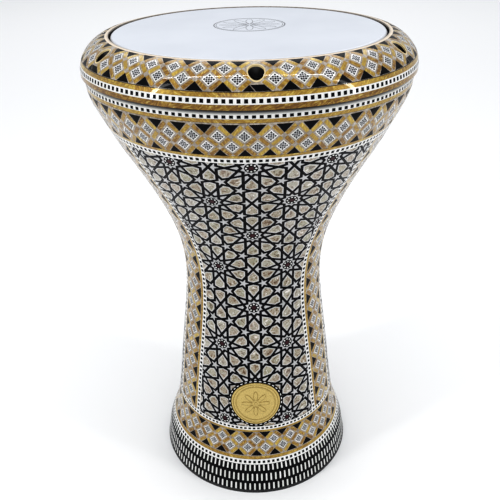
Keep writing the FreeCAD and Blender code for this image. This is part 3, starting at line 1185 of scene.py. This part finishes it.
# ---- goblet ---------------------------------------------------------------------------------
@dataclass
class StarPanel:
    """Ten-pointed stars, petals and small stars of pearl, divided by black straps.

    Lengths are in millimetres. The shares are of the edge, or of the big star's apothem.
    """

    edge: float = 12.07
    stretch: float = 1.035
    strap_half: float = 1.2
    petal_rim: float = 0.65
    petal_ring: float = 0.7
    star_height: float = 0.2010
    rosette: float = 5.1
    field_step: float = 5.0
    petal_side: float = 0.4755
    petal_shoulder: float = 0.6545
    petal_tip: float = 1.309
    arrow_tip: float = 0.951
    arrow_notch: float = 0.1545
    kite_side: float = 0.526
    kite_inner: float = 0.382
    row_share: float = 6.854 / 2
    half_width: float = math.radians(60)
    margin: float = 2.0

    def turned(self, corners: Sequence[Corner], angle: float, move: Corner = (0, 0)) -> list[Corner]:
        """Corners turned about the origin by degrees, then moved."""
        matrix = Matrix.Rotation(math.radians(angle), 2)
        return [tuple(matrix @ Vector(corner) + Vector(move)) for corner in corners]

    def petal(self, cell: Pattern, angle: float, inner: Corner) -> None:
        """A petal: a hexagon with one sharp corner at its inner end.

        Args:
            cell: the pattern that takes the tile.
            angle: where it points, in degrees.
            inner: where its sharp corner is.
        """
        side, shoulder = self.petal_side * self.edge, self.petal_shoulder * self.edge
        corners = [(0, 0), (shoulder, -side), (shoulder + self.edge / 2, -side),
                   (self.petal_tip * self.edge, 0), (shoulder + self.edge / 2, side),
                   (shoulder, side)]
        cell.polygon(self.turned(corners, angle, inner), Tone.CORE, self.strap_half,
                     ((self.petal_rim, Tone.RIM), (self.petal_ring, Tone.PETAL)))

    def star(self, cell: Pattern) -> None:
        """The big star: ten kites round a star with a rosette.

        Args:
            cell: the pattern that takes the tiles.
        """
        apothem = self.apothem(10)
        side, inner = self.kite_side * apothem, self.kite_inner * apothem
        turn = math.radians(18)
        kite = [(inner, 0), (side * math.cos(turn), -side * math.sin(turn)), (apothem, 0),
                (side * math.cos(turn), side * math.sin(turn))]
        for step in range(10):
            cell.polygon(self.turned(kite, 36 * step), Tone.GREY, self.strap_half)
            self.petal(cell, 18 + 36 * step, self.turned([(side, 0)], 18 + 36 * step)[0])
        hub = []
        for step in range(10):
            hub += self.turned([(inner, 0)], 36 * step) + self.turned([(side, 0)], 18 + 36 * step)
        cell.polygon(hub, Tone.GREY, self.strap_half)
        self.rose(cell)

    def rose(self, cell: Pattern) -> None:
        """The rosette in the star: white kites round a dark middle, on black.

        Args:
            cell: the pattern that takes the tiles.
        """
        disc = self.turned([(self.rosette, 0)], 0)
        disc = [self.turned(disc, 30 * step)[0] for step in range(12)]
        cell.polygon(disc, Tone.BLACK, proud=0.03)
        radius = self.rosette
        kite = [(0.52 * radius, 0), (0.69 * radius, -0.17 * radius), (0.86 * radius, 0),
                (0.69 * radius, 0.17 * radius)]
        for step in range(8):
            cell.polygon(self.turned(kite, 45 * step), Tone.WHITE, proud=0.06)
        middle = []
        for step in range(8):
            middle += self.turned([(0.46 * radius, 0)], 45 * step + 22.5)
            middle += self.turned([(0.3 * radius, 0)], 45 * step + 45)
        cell.polygon(middle, Tone.MAROON, proud=0.06)

    def small_star(self, cell: Pattern, centre: Corner, angle: float) -> None:
        """A five-pointed star in a pentagon whose side faces an angle.

        Args:
            cell: the pattern that takes the tile.
            centre: its middle.
            angle: direction of the side, in degrees.
        """
        tip = self.apothem(5)
        inner = tip * math.sin(math.radians(18)) / math.sin(math.radians(54))
        corners = []
        for step in range(5):
            corners += self.turned([(tip, 0)], angle + 72 * step, centre)
            corners += self.turned([(inner, 0)], angle + 72 * step + 36, centre)
        cell.polygon(corners, Tone.GREY, self.strap_half)

    def cell(self) -> Pattern:
        """One star with the tiles to its right and above it.

        Returns:
            The repeat's tiles.
        """
        cell = Pattern()
        self.star(cell)
        reach = self.apothem(10) + self.apothem(5)
        for angle in (36, 72, 108, 144):
            centre = self.turned([(reach, 0)], angle)[0]
            self.small_star(cell, centre, angle + 180)
        middle = (self.half_column(), 0)
        tip, side = self.arrow_tip * self.edge, self.petal_side * self.edge
        notch, wing = self.arrow_notch * self.edge, self.petal_shoulder * self.edge
        arrow = [(tip, 0), (side, notch), (side, wing), (0, 0), (side, -wing), (side, -notch)]
        for angle in (0, 180):
            cell.polygon(self.turned(arrow, angle, middle), Tone.GREY, self.strap_half)
            self.petal(cell, angle + 90, middle)
        bmesh.ops.scale(cell.mesh, vec=(self.stretch, 1, 1), verts=cell.mesh.verts)
        cell.thicken(TILE_DEPTH)
        cell.cut(self.field_step, self.field_step)
        return cell

    def apothem(self, sides: int) -> float:
        """Distance from the middle of a regular polygon on the edge to its sides."""
        return self.edge / 2 / math.tan(math.pi / sides)

    def half_column(self) -> float:
        """Half the distance between stars in a row, before stretching."""
        return self.apothem(10) + self.arrow_tip * self.edge

    def build(self, index: int, outline: Outline, low: float, high: float, strip_half: float,
              materials: Sequence[bpy.types.Material], clear: tuple[Vector, float] | None,
              chance: random.Random) -> bpy.types.Object:
        """Makes one panel between two border strips.

        Args:
            index: which panel, from 0 at the front.
            outline: the goblet's outline.
            low: height of its lower edge, in metres.
            high: height of its upper edge, in metres.
            strip_half: half the width of a border strip, in metres.
            materials: the mosaic's materials.
            clear: centre and radius of a round place left free of tiles.
            chance: draws the shades.

        Returns:
            The panel.
        """
        start, end = (outline.length_at(height) / MM for height in (low, high))
        origin = outline.length_at(self.star_height) / MM
        column = self.half_column() * self.stretch
        row = self.row_share * self.edge
        limit, margin = self.half_width, self.margin
        places = []
        for j in range(-6, 7):
            for i in range(-5, 6):
                x, y = i * column, origin + j * row
                radius = outline.radius_at(min(max(y, start), end) * MM) / MM
                if (i + j) % 2 == 0 and start - row < y < end + row:
                    if abs(x) < radius * limit + 1.5 * column:
                        places.append(Matrix.Translation((x, y, 0)))
        whole = self.cell().repeat(places, chance)
        stray = [vertex for vertex in whole.mesh.verts
                 if not start - margin < vertex.co.y < end + margin]
        bmesh.ops.delete(whole.mesh, geom=stray, context="VERTS")
        widest = max(outline.radii) / MM * limit
        whole.add(sheet(start, end, 2 * widest, GROUND))
        turn = 2 * limit * index
        far = [vertex for vertex in whole.mesh.verts
               if abs(vertex.co.x) > limit * outline.radius_at(vertex.co.y * MM) / MM + margin / 2]
        bmesh.ops.delete(whole.mesh, geom=far, context="VERTS")
        bend(whole, outline, lambda x, radii: x / radii + turn)
        for side in (-1, 1):
            across = turn + side * limit
            out = Vector((math.cos(across), math.sin(across), 0)) * side
            crop(whole.mesh, -out * strip_half, out)
        crop_between(whole.mesh, low, high)
        if clear is not None:
            hidden = [face for face in whole.mesh.faces
                      if (face.calc_center_median() - clear[0]).length < clear[1]]
            bmesh.ops.delete(whole.mesh, geom=hidden, context="FACES")
        name = f"star_panel_{index + 1}"
        return finish_piece(whole.mesh, name, materials, "goblet", [name], outline)


@dataclass(frozen=True)
class RoundBorder:
    """Lines of a border round the goblet, by their heights in millimetres, and its repeats."""

    node: str
    rows: Corner
    field: Corner
    gold: tuple[Corner, Corner]
    dotted: Corner
    repeats: int
    dots: int
    dot_shares: tuple[Corner, Corner]
    turn: float


LOWER = RoundBorder("lower_border_band", (48.5, 57.0), (39.5, 65.8), ((36.6, 39.4), (66.0, 67.9)),
                    (36.4, 68.0), 30, 120, ((0.55, 0.26), (0.6, 0.26)), 6.0)
UPPER = RoundBorder("upper_border_band", (374.1, 382.7), (366.4, 392.8),
                    ((364.0, 366.2), (393.0, 395.6)), (363.9, 395.7), 46, 168,
                    ((0.56, 0.24), (0.54, 0.13)), 2.1)


@dataclass
class Goblet:
    """The goblet's mosaic, edging, medallion and casting."""

    palette: Palette
    strip_half: float = 20.8
    strip_pitch: float = 17.5
    strip_row: float = 4.45
    strip_field: float = 13.7
    strip_gold: Corner = (13.9, 16.5)
    strip_dotted: float = 16.6
    strip_dot_pitch: float = 4.6
    stripe_rows: tuple[Corner, ...] = ((3.4, 10.9), (14.0, 22.1), (25.2, 31.2))
    stripe_repeats: int = 127
    dash_share: float = 0.39
    feeler_turn: float = 27.0
    seed: int = 7

    def __post_init__(self) -> None:
        """Feels the goblet's outline."""
        nodes = ["foot_trim", "foot_stripe_band", "lower_border_band", "star_panel_1",
                 "upper_border_band", "rim_edging"]
        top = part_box("rim_edging")[1][2]
        steps = round(top / MM)
        heights = [top * (i + 0.5) / steps for i in range(steps)]
        rays = [((0.3, height), (0, height)) for height in heights]
        self.outline = Outline(nodes, rays, math.radians(self.feeler_turn))
        self.chance = random.Random(self.seed)

    def at(self, height: float) -> float:
        """Length along the outline at a height, both in millimetres."""
        return self.outline.length_at(height * MM) / MM

    def span(self, node: str) -> Corner:
        """Lengths along the outline at a node's lower and upper edge, in millimetres."""
        low, high = (corner[2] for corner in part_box(node))
        return self.outline.length_at(low) / MM, self.outline.length_at(high) / MM

    def band(self, node: str, slot: str) -> TurnedBand:
        """A band that takes a node's place on the goblet."""
        return TurnedBand(node, "goblet", slot, self.outline, *self.span(node))

    def stripes(self) -> None:
        """Three rows of pale dashes on black, round the foot."""
        band = self.band("foot_stripe_band", "stripe_inlay")
        pitch = band.length() / self.stripe_repeats
        half = pitch * self.dash_share / 2
        tiles = []
        for number, (low, high) in enumerate(self.stripe_rows):
            cell = Pattern()
            start, end = self.at(low), self.at(high)
            cell.polygon([(-half * 0.85, start + 0.4), (-half * 0.4, start), (half * 0.4, start),
                          (half * 0.85, start + 0.4), (half * 0.8, end - 0.4), (half * 0.4, end),
                          (-half * 0.4, end), (-half * 0.8, end - 0.4)], Tone.WHITE)
            cell.thicken(TILE_DEPTH)
            cell.cut(0, 3)
            shift = number % 2 * pitch / 2
            places = shifts([shift + pitch * (i - self.stripe_repeats / 2)
                             for i in range(self.stripe_repeats)])
            tiles.append(cell.repeat(places, self.chance))
        band.build(tiles, [], self.palette.inlays)

    def round_border(self, plan: RoundBorder) -> None:
        """A border of the lattice that goes all the way round.

        Args:
            plan: where its lines lie.
        """
        band = self.band(plan.node, "border_inlay")
        length = band.length()
        under, over = plan.dot_shares
        tapes = [Tape(TapeKind.DOTTED, self.at(plan.dotted[1]), band.high, plan.dots, *over),
                 Tape(TapeKind.GOLD, *map(self.at, plan.gold[1])),
                 Tape(TapeKind.GOLD, *map(self.at, plan.gold[0])),
                 Tape(TapeKind.DOTTED, band.low, self.at(plan.dotted[0]), plan.dots, *under)]
        field = self.at(plan.field[0]), self.at(plan.field[1])
        border = Border(length, plan.repeats, *map(self.at, plan.rows), tapes, field,
                        plan.turn / 360 * length)
        band.build([border.pattern(self.chance)], [field], self.palette.inlays)

    def strip(self, index: int) -> None:
        """One upright border strip between two panels.

        Args:
            index: which strip, from 0 to the right of the front.
        """
        name = f"border_strip_{index + 1}"
        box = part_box(name)
        low, high = self.span(name)
        length = high - low
        half, row = self.strip_half, self.strip_row
        dots = round(length / self.strip_dot_pitch)
        tapes = []
        for side in (-1, 1):
            dotted = sorted((side * self.strip_dotted, side * half))
            gold = sorted(side * line for line in self.strip_gold)
            tapes += [Tape(TapeKind.DOTTED, *dotted, dots, 0.55, 0.2), Tape(TapeKind.GOLD, *gold)]
        field = -self.strip_field, self.strip_field
        border = Border(length, round(length / self.strip_pitch), -row, row, tapes, field)
        whole = border.pattern(self.chance)
        whole.add(sheet(*field, length, JOINTS))
        whole.add(sheet(-half, half, length, GROUND))
        bmesh.ops.rotate(whole.mesh, matrix=Matrix.Rotation(math.pi / 2, 3, "Z"),
                         verts=whole.mesh.verts)
        bmesh.ops.translate(whole.mesh, vec=(0, (low + high) / 2, 0), verts=whole.mesh.verts)
        centre = math.radians(60 + 120 * index)
        bend(whole, self.outline,
             lambda x, radii: np.arcsin(np.clip(x / radii, -1, 1)) + centre)
        crop_between(whole.mesh, box[0][2], box[1][2])
        finish_piece(whole.mesh, name, self.palette.inlays, "goblet", [name],
                     self.outline)

    def panels(self) -> None:
        """The three star panels; the front one leaves room for the medallion."""
        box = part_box("star_panel_1")
        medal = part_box("medallion_border")
        centre = Vector([(low + high) / 2 for low, high in zip(*medal)])
        radius = (medal[1][0] - medal[0][0]) / 2 - 1.2 * MM
        for index in range(3):
            clear = (centre, radius) if index == 0 else None
            StarPanel().build(index, self.outline, box[0][2], box[1][2], self.strip_half * MM,
                              self.palette.inlays, clear, self.chance)

    def build(self) -> None:
        """Makes everything on the goblet."""
        self.stripes()
        self.round_border(LOWER)
        self.round_border(UPPER)
        for index in range(3):
            self.strip(index)
        self.panels()
        Medallion(self.palette, self.outline).build()
        self.palette.dress("rim_edging", self.palette.take(EDGING))
        self.palette.dress("foot_trim", self.palette.take(RUBBER))
        self.palette.dress("shell", self.palette.take(CAST))


@dataclass
class Medallion:
    """Brass medallion with a plain rosette in relief, in a dashed black border."""

    palette: Palette
    outline: Outline
    dashes: int = 34
    dash_half: Corner = (1.0, 0.38)
    dash_point: float = 1.2
    face_height: float = 0.55
    relief: float = 0.7
    step: float = 0.4
    steep: float = 0.93
    petals: int = 8
    petal_centre: float = 0.36
    petal_half: Corner = (0.25, 0.095)
    ring_share: float = 0.8
    seed: int = 3

    def build(self) -> None:
        """Makes the medallion and its border."""
        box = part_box("medallion")
        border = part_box("medallion_border")
        self.radius = (box[1][0] - box[0][0]) / 2 / MM
        self.outer = (border[1][0] - border[0][0]) / 2 / MM
        self.centre = self.outline.length_at((box[0][2] + box[1][2]) / 2) / MM
        self.plate()
        self.ring()

    def lay(self, pattern: Pattern, name: str, materials: Sequence[bpy.types.Material], slot: str,
            smooth: bool) -> None:
        """Bends a round pattern onto the front.

        Args:
            pattern: the pattern about its own middle.
            name: the piece's name, which is its CAD node's too.
            materials: its materials.
            slot: the record's material slot; not used.
            smooth: whether its outer faces take the outline's directions.
        """
        bmesh.ops.translate(pattern.mesh, vec=(0, self.centre, 0), verts=pattern.mesh.verts)
        bend(pattern, self.outline, lambda x, radii: np.arcsin(x / radii))
        finish_piece(pattern.mesh, name, materials, "goblet", [name],
                     self.outline if smooth else None)

    def plate(self) -> None:
        """The brass plate: domed edge, ring and eight-petal rosette, with painted shade on the steep
        sides of the relief.
        """
        pattern = Pattern()
        radius = self.radius
        face = self.face_height
        section = [(0, face), (0.6, face)]
        section += [(self.step * i, face) for i in range(2, round((radius - 3) / self.step))]
        section += [(radius - 2.4, 0.62), (radius - 1.7, 0.9), (radius - 1.0, 1.0),
                    (radius - 0.4, 0.85), (radius - 0.05, 0.4), (radius, -1.0), (0, -1.0)]
        pattern.spin(section, 192)
        for vertex in pattern.mesh.verts:
            if vertex.co.z > 0.5:
                vertex.co.z += self.rosette(math.hypot(*vertex.co.xy), math.atan2(*vertex.co.yx))
        for face in pattern.mesh.faces:
            face.normal_update()
            # Steep faces of the relief take the second, darker brass: painted shade along the edges of
            # the petals.
            face.material_index = int(0 < face.normal.z < self.steep)
        self.lay(pattern, "medallion", [self.palette.take(BRASS), self.palette.take(CREASE_SHADE_BRASS)],
                 "medallion_brass", False)

    def rosette(self, radius: float, angle: float) -> float:
        """Height of the relief at a place on the plate, in millimetres.

        Args:
            radius: distance from the middle, in millimetres.
            angle: turn about the middle, in radians.

        Returns:
            The height.
        """
        part = math.tau / self.petals
        turn = (angle + part / 2) % part - part / 2
        along = (radius * math.cos(turn) / self.radius - self.petal_centre) / self.petal_half[0]
        across = radius * math.sin(turn) / self.radius / self.petal_half[1]
        petal = min(1.0, max(0.0, 2.2 * (1 - along ** 2 - across ** 2)))
        boss = max(0.0, 1 - (radius / 1.7) ** 2)
        ring = max(0.0, 1 - abs(radius - self.ring_share * self.radius) / 0.8)
        return self.relief * (0.7 * max(petal, boss) + 0.6 * ring)

    def ring(self) -> None:
        """The black border with white dashes."""
        pattern = Pattern()
        inner, outer = self.radius - 0.1, self.outer
        section = [(inner, -1.0), (inner, 0.12), ((inner + outer) / 2, 0.16), (outer, 0.12),
                   (outer, -1.0)]
        pattern.spin(section, 96, closed=True)
        pattern.mark(pattern.mesh.faces, Tone.BLACK)
        middle = (inner + outer) / 2
        (long, wide), point = self.dash_half, self.dash_point
        dash = Pattern()
        dash.polygon([(-long, -wide), (long, -wide), (point, 0), (long, wide), (-long, wide),
                      (-point, 0)], Tone.WHITE, proud=0.22)
        dash.thicken(0.12)
        places = [Matrix.Rotation(i * math.tau / self.dashes, 4, "Z")
                  @ Matrix.Translation((0, middle, 0)) for i in range(self.dashes)]
        pattern.add(dash.repeat(places, random.Random(self.seed)))
        self.lay(pattern, "medallion_border", self.palette.inlays, "stripe_inlay", True)


# ---- clamping ring --------------------------------------------------------------------------
@dataclass
class ClampingRing:
    """The ring's mosaic, trim, recess rims, washers and screws."""

    palette: Palette
    bolts: int = 6
    first_bolt: float = 2.0
    sector_cells: int = 7
    pitch: float = 8.2
    step_up: float = 1.8
    wedge_height: float = 4.4
    skirt_lines: tuple[float, float, float] = (406.0, 410.5, 413.4)
    outer_row: Corner = (129.3, 420.5)
    inner_row: Corner = (122.5, 425.7)
    lip_width: float = 2.8
    feelers: int = 60
    feeler_turn: float = 27.0
    feeler_reach: float = 50.0
    seed: int = 11

    def __post_init__(self) -> None:
        """Feels the ring's outline from its underside to its lip."""
        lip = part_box("ring_inner_trim")[1][0] - self.lip_width * MM
        pivot = (lip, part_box("ring_edge_band")[0][2])
        rays = []
        for step in range(self.feelers + 1):
            angle = math.radians(0.4 + 89.2 * step / self.feelers)
            reach = Vector((math.cos(angle), math.sin(angle))) * self.feeler_reach * MM
            rays.append(((pivot[0] + reach.x, pivot[1] + reach.y), pivot))
        nodes = ["ring_edge_band", "ring_diamond_band", "ring_inner_trim"]
        turn = math.radians(self.first_bolt + self.feeler_turn)
        self.outline = Outline(nodes, rays, turn, pivot)
        self.chance = random.Random(self.seed)

    def along(self, radius: float, height: float) -> float:
        """Length along the outline beside a section point, all in millimetres."""
        return self.outline.length_near(radius * MM, height * MM) / MM

    def edge_band(self) -> None:
        """Plain and dotted tapes round the ring's skirt."""
        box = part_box("ring_edge_band")
        top = self.outline.length_at(box[1][2]) / MM
        band = TurnedBand("ring_edge_band", "tension_ring", "border_inlay", self.outline, 0.05, top)
        length = band.length()
        lines = [self.outline.length_at(height * MM) / MM for height in self.skirt_lines]
        whole = Pattern()
        for tape in (Tape(TapeKind.GOLD, 0.1, lines[0], shades=(0.0, 0.2)),
                     Tape(TapeKind.DOTTED, lines[0], lines[1], 176, 0.54, 0.2),
                     Tape(TapeKind.GOLD, lines[1], lines[2])):
            tape.lay(whole, length, self.chance)
        band.build([whole], [], self.palette.inlays)

    def diamond_band(self) -> None:
        """The lattice over the ring's crown, broken at each screw."""
        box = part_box("ring_diamond_band")
        low = self.outline.length_at(box[0][2]) / MM
        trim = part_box("ring_inner_trim")
        high = self.along(trim[1][0] / MM, trim[1][2] / MM)
        band = TurnedBand("ring_diamond_band", "tension_ring", "border_inlay", self.outline, low, high,
                          self.step_up)
        length = band.length()
        pitch = self.pitch / 360 * length
        rows = self.along(*self.outer_row), self.along(*self.inner_row)
        border = Border(pitch, 1, rows[0], rows[1], (), (low, high))
        rise = border.rise()
        sector = Pattern()
        half = pitch / 2
        base, crown = max(low + 0.3, rows[0] - rise), min(high - 0.1, rows[1] + rise)
        span = (self.sector_cells - 1) * pitch
        for index in range(self.sector_cells):
            x = index * pitch - span / 2
            border.diamond(sector, x, rows[0])
            border.triangle(sector, x, crown, -1)
            for side in (-half, half):
                border.bar(sector, (x, base), (x + side, rows[0]))
                border.bar(sector, (x, rows[1]), (x + side, crown))
                border.bar(sector, (x + side, rows[0]), (x, rows[1]))
            if index < self.sector_cells - 1:
                border.diamond(sector, x + half, rows[1])
                border.triangle(sector, x + half, base, 1)
        sector.trim(low + 0.15, high - 0.05)
        sector.thicken(TILE_DEPTH)
        sector.cut(FIELD, self.step_up)
        step = length / self.bolts
        start = self.first_bolt / 360 * length
        places = shifts([start + step * (i + 0.5) - length / 2 for i in range(self.bolts)])
        tiles = sector.repeat(places, self.chance)
        tiles.add(self.bolt_cell(base).repeat(
            shifts([start + step * i - length / 2 for i in range(self.bolts)]), self.chance))
        holes = []
        for index in range(self.bolts):
            angle = math.radians(self.first_bolt + 360 / self.bolts * index)
            holes.append((round_axis(self.bolt_circle(), angle, 0), self.rim_radius()))
        band.build([tiles], [(low + 0.1, high)], self.palette.inlays, holes)

    def bolt_circle(self) -> float:
        """Radius of the screws' circle, in metres."""
        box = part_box("tuning_bolt_1")
        return math.hypot((box[0][0] + box[1][0]) / 2, (box[0][1] + box[1][1]) / 2)

    def rim_radius(self) -> float:
        """Outer radius of a recess's pale rim, in metres."""
        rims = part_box("recess_rims")
        return rims[1][1] - self.bolt_circle() * math.cos(math.radians(self.first_bolt))

    def bolt_cell(self, base: float) -> Pattern:
        """Tiles that close the lattice at a screw: two dark wedges.

        Args:
            base: the lattice's lower line.

        Returns:
            The wedges.
        """
        cell = Pattern()
        top = base + self.wedge_height
        cell.polygon([(-9.0, base), (-1.2, base), (-4.6, top)], Tone.BLACK)
        cell.polygon([(-0.7, base), (9.0, base), (4.6, top), (-4.1, top)], Tone.BLACK)
        cell.thicken(TILE_DEPTH)
        cell.cut(FIELD, self.step_up)
        return cell

    def build(self) -> None:
        """Makes the ring's mosaic and dresses its metal."""
        self.edge_band()
        self.diamond_band()
        self.palette.dress("ring_inner_trim", self.palette.take(TRIM))
        self.palette.dress("recess_rims", self.palette.take(RECESS))
        # The casting's near-black coat also gives the painted shade in the screw recesses and the gap
        # under the ring.
        self.palette.dress("tension_ring", self.palette.take(COAT_AND_SHADE))
        self.palette.dress("bolt_washers", self.palette.take(STEEL))
        for index in range(self.bolts):
            self.palette.dress(f"tuning_bolt_{index + 1}", self.palette.take(OXIDE))


# ---- head -----------------------------------------------------------------------------------
@dataclass
class Head:
    """White film head with its hoop and a plain printed rosette."""

    palette: Palette
    print_radius: float = 30.0
    print_centre: Corner = (0.8, 18.0)
    line: float = 0.45
    petals: int = 12
    loop_centre: float = 0.46
    loop_half: Corner = (11.5, 3.1)
    ink_depth: float = 0.012

    def print(self) -> None:
        """A thin printed ring round a rosette of plain loops."""
        ink = Pattern()
        for radius, width in ((self.print_radius, 2 * self.line), (self.print_radius - 2, self.line)):
            ends = [ink.mesh.verts.new((radius - part * width, 0, 0)) for part in (0, 1)]
            edge = ink.mesh.edges.new(ends)
            bmesh.ops.spin(ink.mesh, geom=[*ends, edge], cent=(0, 0, 0), axis=(0, 0, 1),
                           angle=math.tau, steps=96, use_merge=True)
        reach = self.print_radius * self.loop_centre
        for step in range(self.petals):
            turn = Matrix.Rotation(step * math.tau / self.petals, 4, "Z")
            shape = (turn @ Matrix.Translation((reach, 0, 0))
                     @ Matrix.Diagonal((*self.loop_half, 1, 1)))
            loop = bmesh.ops.create_circle(ink.mesh, segments=28, radius=1, cap_ends=True,
                                           matrix=shape)["verts"]
            face = next(iter(loop[0].link_faces))
            face.normal_update()
            bmesh.ops.inset_individual(ink.mesh, faces=[face], thickness=self.line,
                                       use_even_offset=True)
            bmesh.ops.delete(ink.mesh, geom=[face], context="FACES_ONLY")
        bmesh.ops.recalc_face_normals(ink.mesh, faces=ink.mesh.faces)
        ink.thicken(self.ink_depth)
        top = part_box("head_membrane")[1][2] + 2 * self.ink_depth * MM
        place = Matrix.Translation((self.print_centre[0] * MM, self.print_centre[1] * MM, top))
        bmesh.ops.transform(ink.mesh, matrix=place @ Matrix.Scale(MM, 4), verts=ink.mesh.verts)
        finish_piece(ink.mesh, "head_print", [self.palette.take(INK)], "drumhead")

    def build(self) -> None:
        """Dresses the film, the hoop and its resin."""
        self.palette.dress("head_membrane", self.palette.take(FILM))
        self.print()
        self.palette.dress("head_hoop", self.palette.take(SATIN))
        self.palette.dress("hoop_resin", self.palette.take(RESIN))


# ---- studio ---------------------------------------------------------------------------------
@dataclass(frozen=True)
class Lamp:
    """A soft rectangular light that faces a point."""

    name: str
    place: tuple[float, float, float]
    power: float
    size: Corner
    aim: tuple[float, float, float] = (0.0, 0.0, 0.22)


LAMPS = (Lamp("left_strip", (-1.3, -0.7, 0.9), 7, (0.09, 1.3)),
         Lamp("right_strip", (1.35, -0.6, 0.8), 6, (0.09, 1.3)),
         Lamp("top_strip", (0.0, -0.25, 1.7), 7, (2.2, 0.03)),
         Lamp("top_softbox", (0.1, 0.5, 1.9), 3, (1.6, 1.2)),
         Lamp("front_fill", (0.0, -1.8, 1.1), 4, (1.2, 0.6)),
         Lamp("floor_wash", (0.0, 2.6, 2.6), 34, (3.6, 2.0), (0.0, 2.7, 0.0)))


@dataclass
class Studio:
    """Pale floor, soft lights and the camera."""

    camera_place: tuple[float, float, float] = (0.0, -0.54009, 0.52520)
    pitch: float = 29.173
    roll: float = -0.0218
    yaw: float = 0.00496
    lens: float = 46.23
    floor_half: float = 4.0
    surroundings: tuple[float, float, float, float] = (0.95, 0.97, 1.0, 1.0)
    brightness: float = 0.68
    exposure: float = -0.42

    def floor(self) -> None:
        """A wide pale floor."""
        mesh = bmesh.new()
        bmesh.ops.create_grid(mesh, x_segments=2, y_segments=2, size=self.floor_half)
        data = bpy.data.meshes.new("floor")
        mesh.to_mesh(data)
        mesh.free()
        recipe = Recipe("floor_white")
        recipe.set(Base_Color=(0.86, 0.86, 0.86, 1), Roughness=0.6)
        data.materials.append(recipe.material)
        piece = bpy.data.objects.new("floor", data)
        bpy.context.scene.collection.objects.link(piece)

    def light(self, plan: Lamp) -> None:
        """Hangs a light.

        Args:
            plan: the light.
        """
        lamp = bpy.data.lights.new(plan.name, "AREA")
        lamp.shape = "RECTANGLE"
        lamp.size, lamp.size_y = plan.size
        lamp.energy = plan.power
        holder = bpy.data.objects.new(plan.name, lamp)
        holder.location = plan.place
        towards = Vector(plan.aim) - Vector(plan.place)
        holder.rotation_euler = towards.to_track_quat("-Z", "Y").to_euler()
        bpy.context.scene.collection.objects.link(holder)

    def world(self) -> None:
        """Lights the surroundings evenly and sets how the picture is exposed."""
        world = bpy.data.worlds.new("surroundings")
        world.use_nodes = True
        background = world.node_tree.nodes["Background"]
        background.inputs["Color"].default_value = self.surroundings
        background.inputs["Strength"].default_value = self.brightness
        bpy.context.scene.world = world
        view = bpy.context.scene.view_settings
        view.view_transform = "Standard"
        view.look = "High Contrast"
        view.exposure = self.exposure

    def camera(self) -> None:
        """Sets up the camera."""
        data = bpy.data.cameras.new("camera")
        data.lens = self.lens
        camera = bpy.data.objects.new("camera", data)
        camera.matrix_world = (Matrix.Translation(self.camera_place)
                               @ Matrix.Rotation(self.yaw, 4, "Z")
                               @ Matrix.Rotation(math.pi / 2 - math.radians(self.pitch), 4, "X")
                               @ Matrix.Rotation(self.roll, 4, "Z"))
        bpy.context.scene.collection.objects.link(camera)
        bpy.context.scene.camera = camera

    def build(self) -> None:
        """Sets up the floor, the lights, the surroundings and the camera."""
        self.floor()
        for plan in LAMPS:
            self.light(plan)
        self.world()
        self.camera()


def main() -> None:
    """Builds the drum, piece by piece, in its studio."""
    logging.basicConfig(level=logging.INFO, format="%(name)s %(message)s")
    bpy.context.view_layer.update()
    Studio().build()
    palette = Palette()
    Head(palette).build()
    ClampingRing(palette).build()
    Goblet(palette).build()


if __name__ == "__main__":
    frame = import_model()
    main()
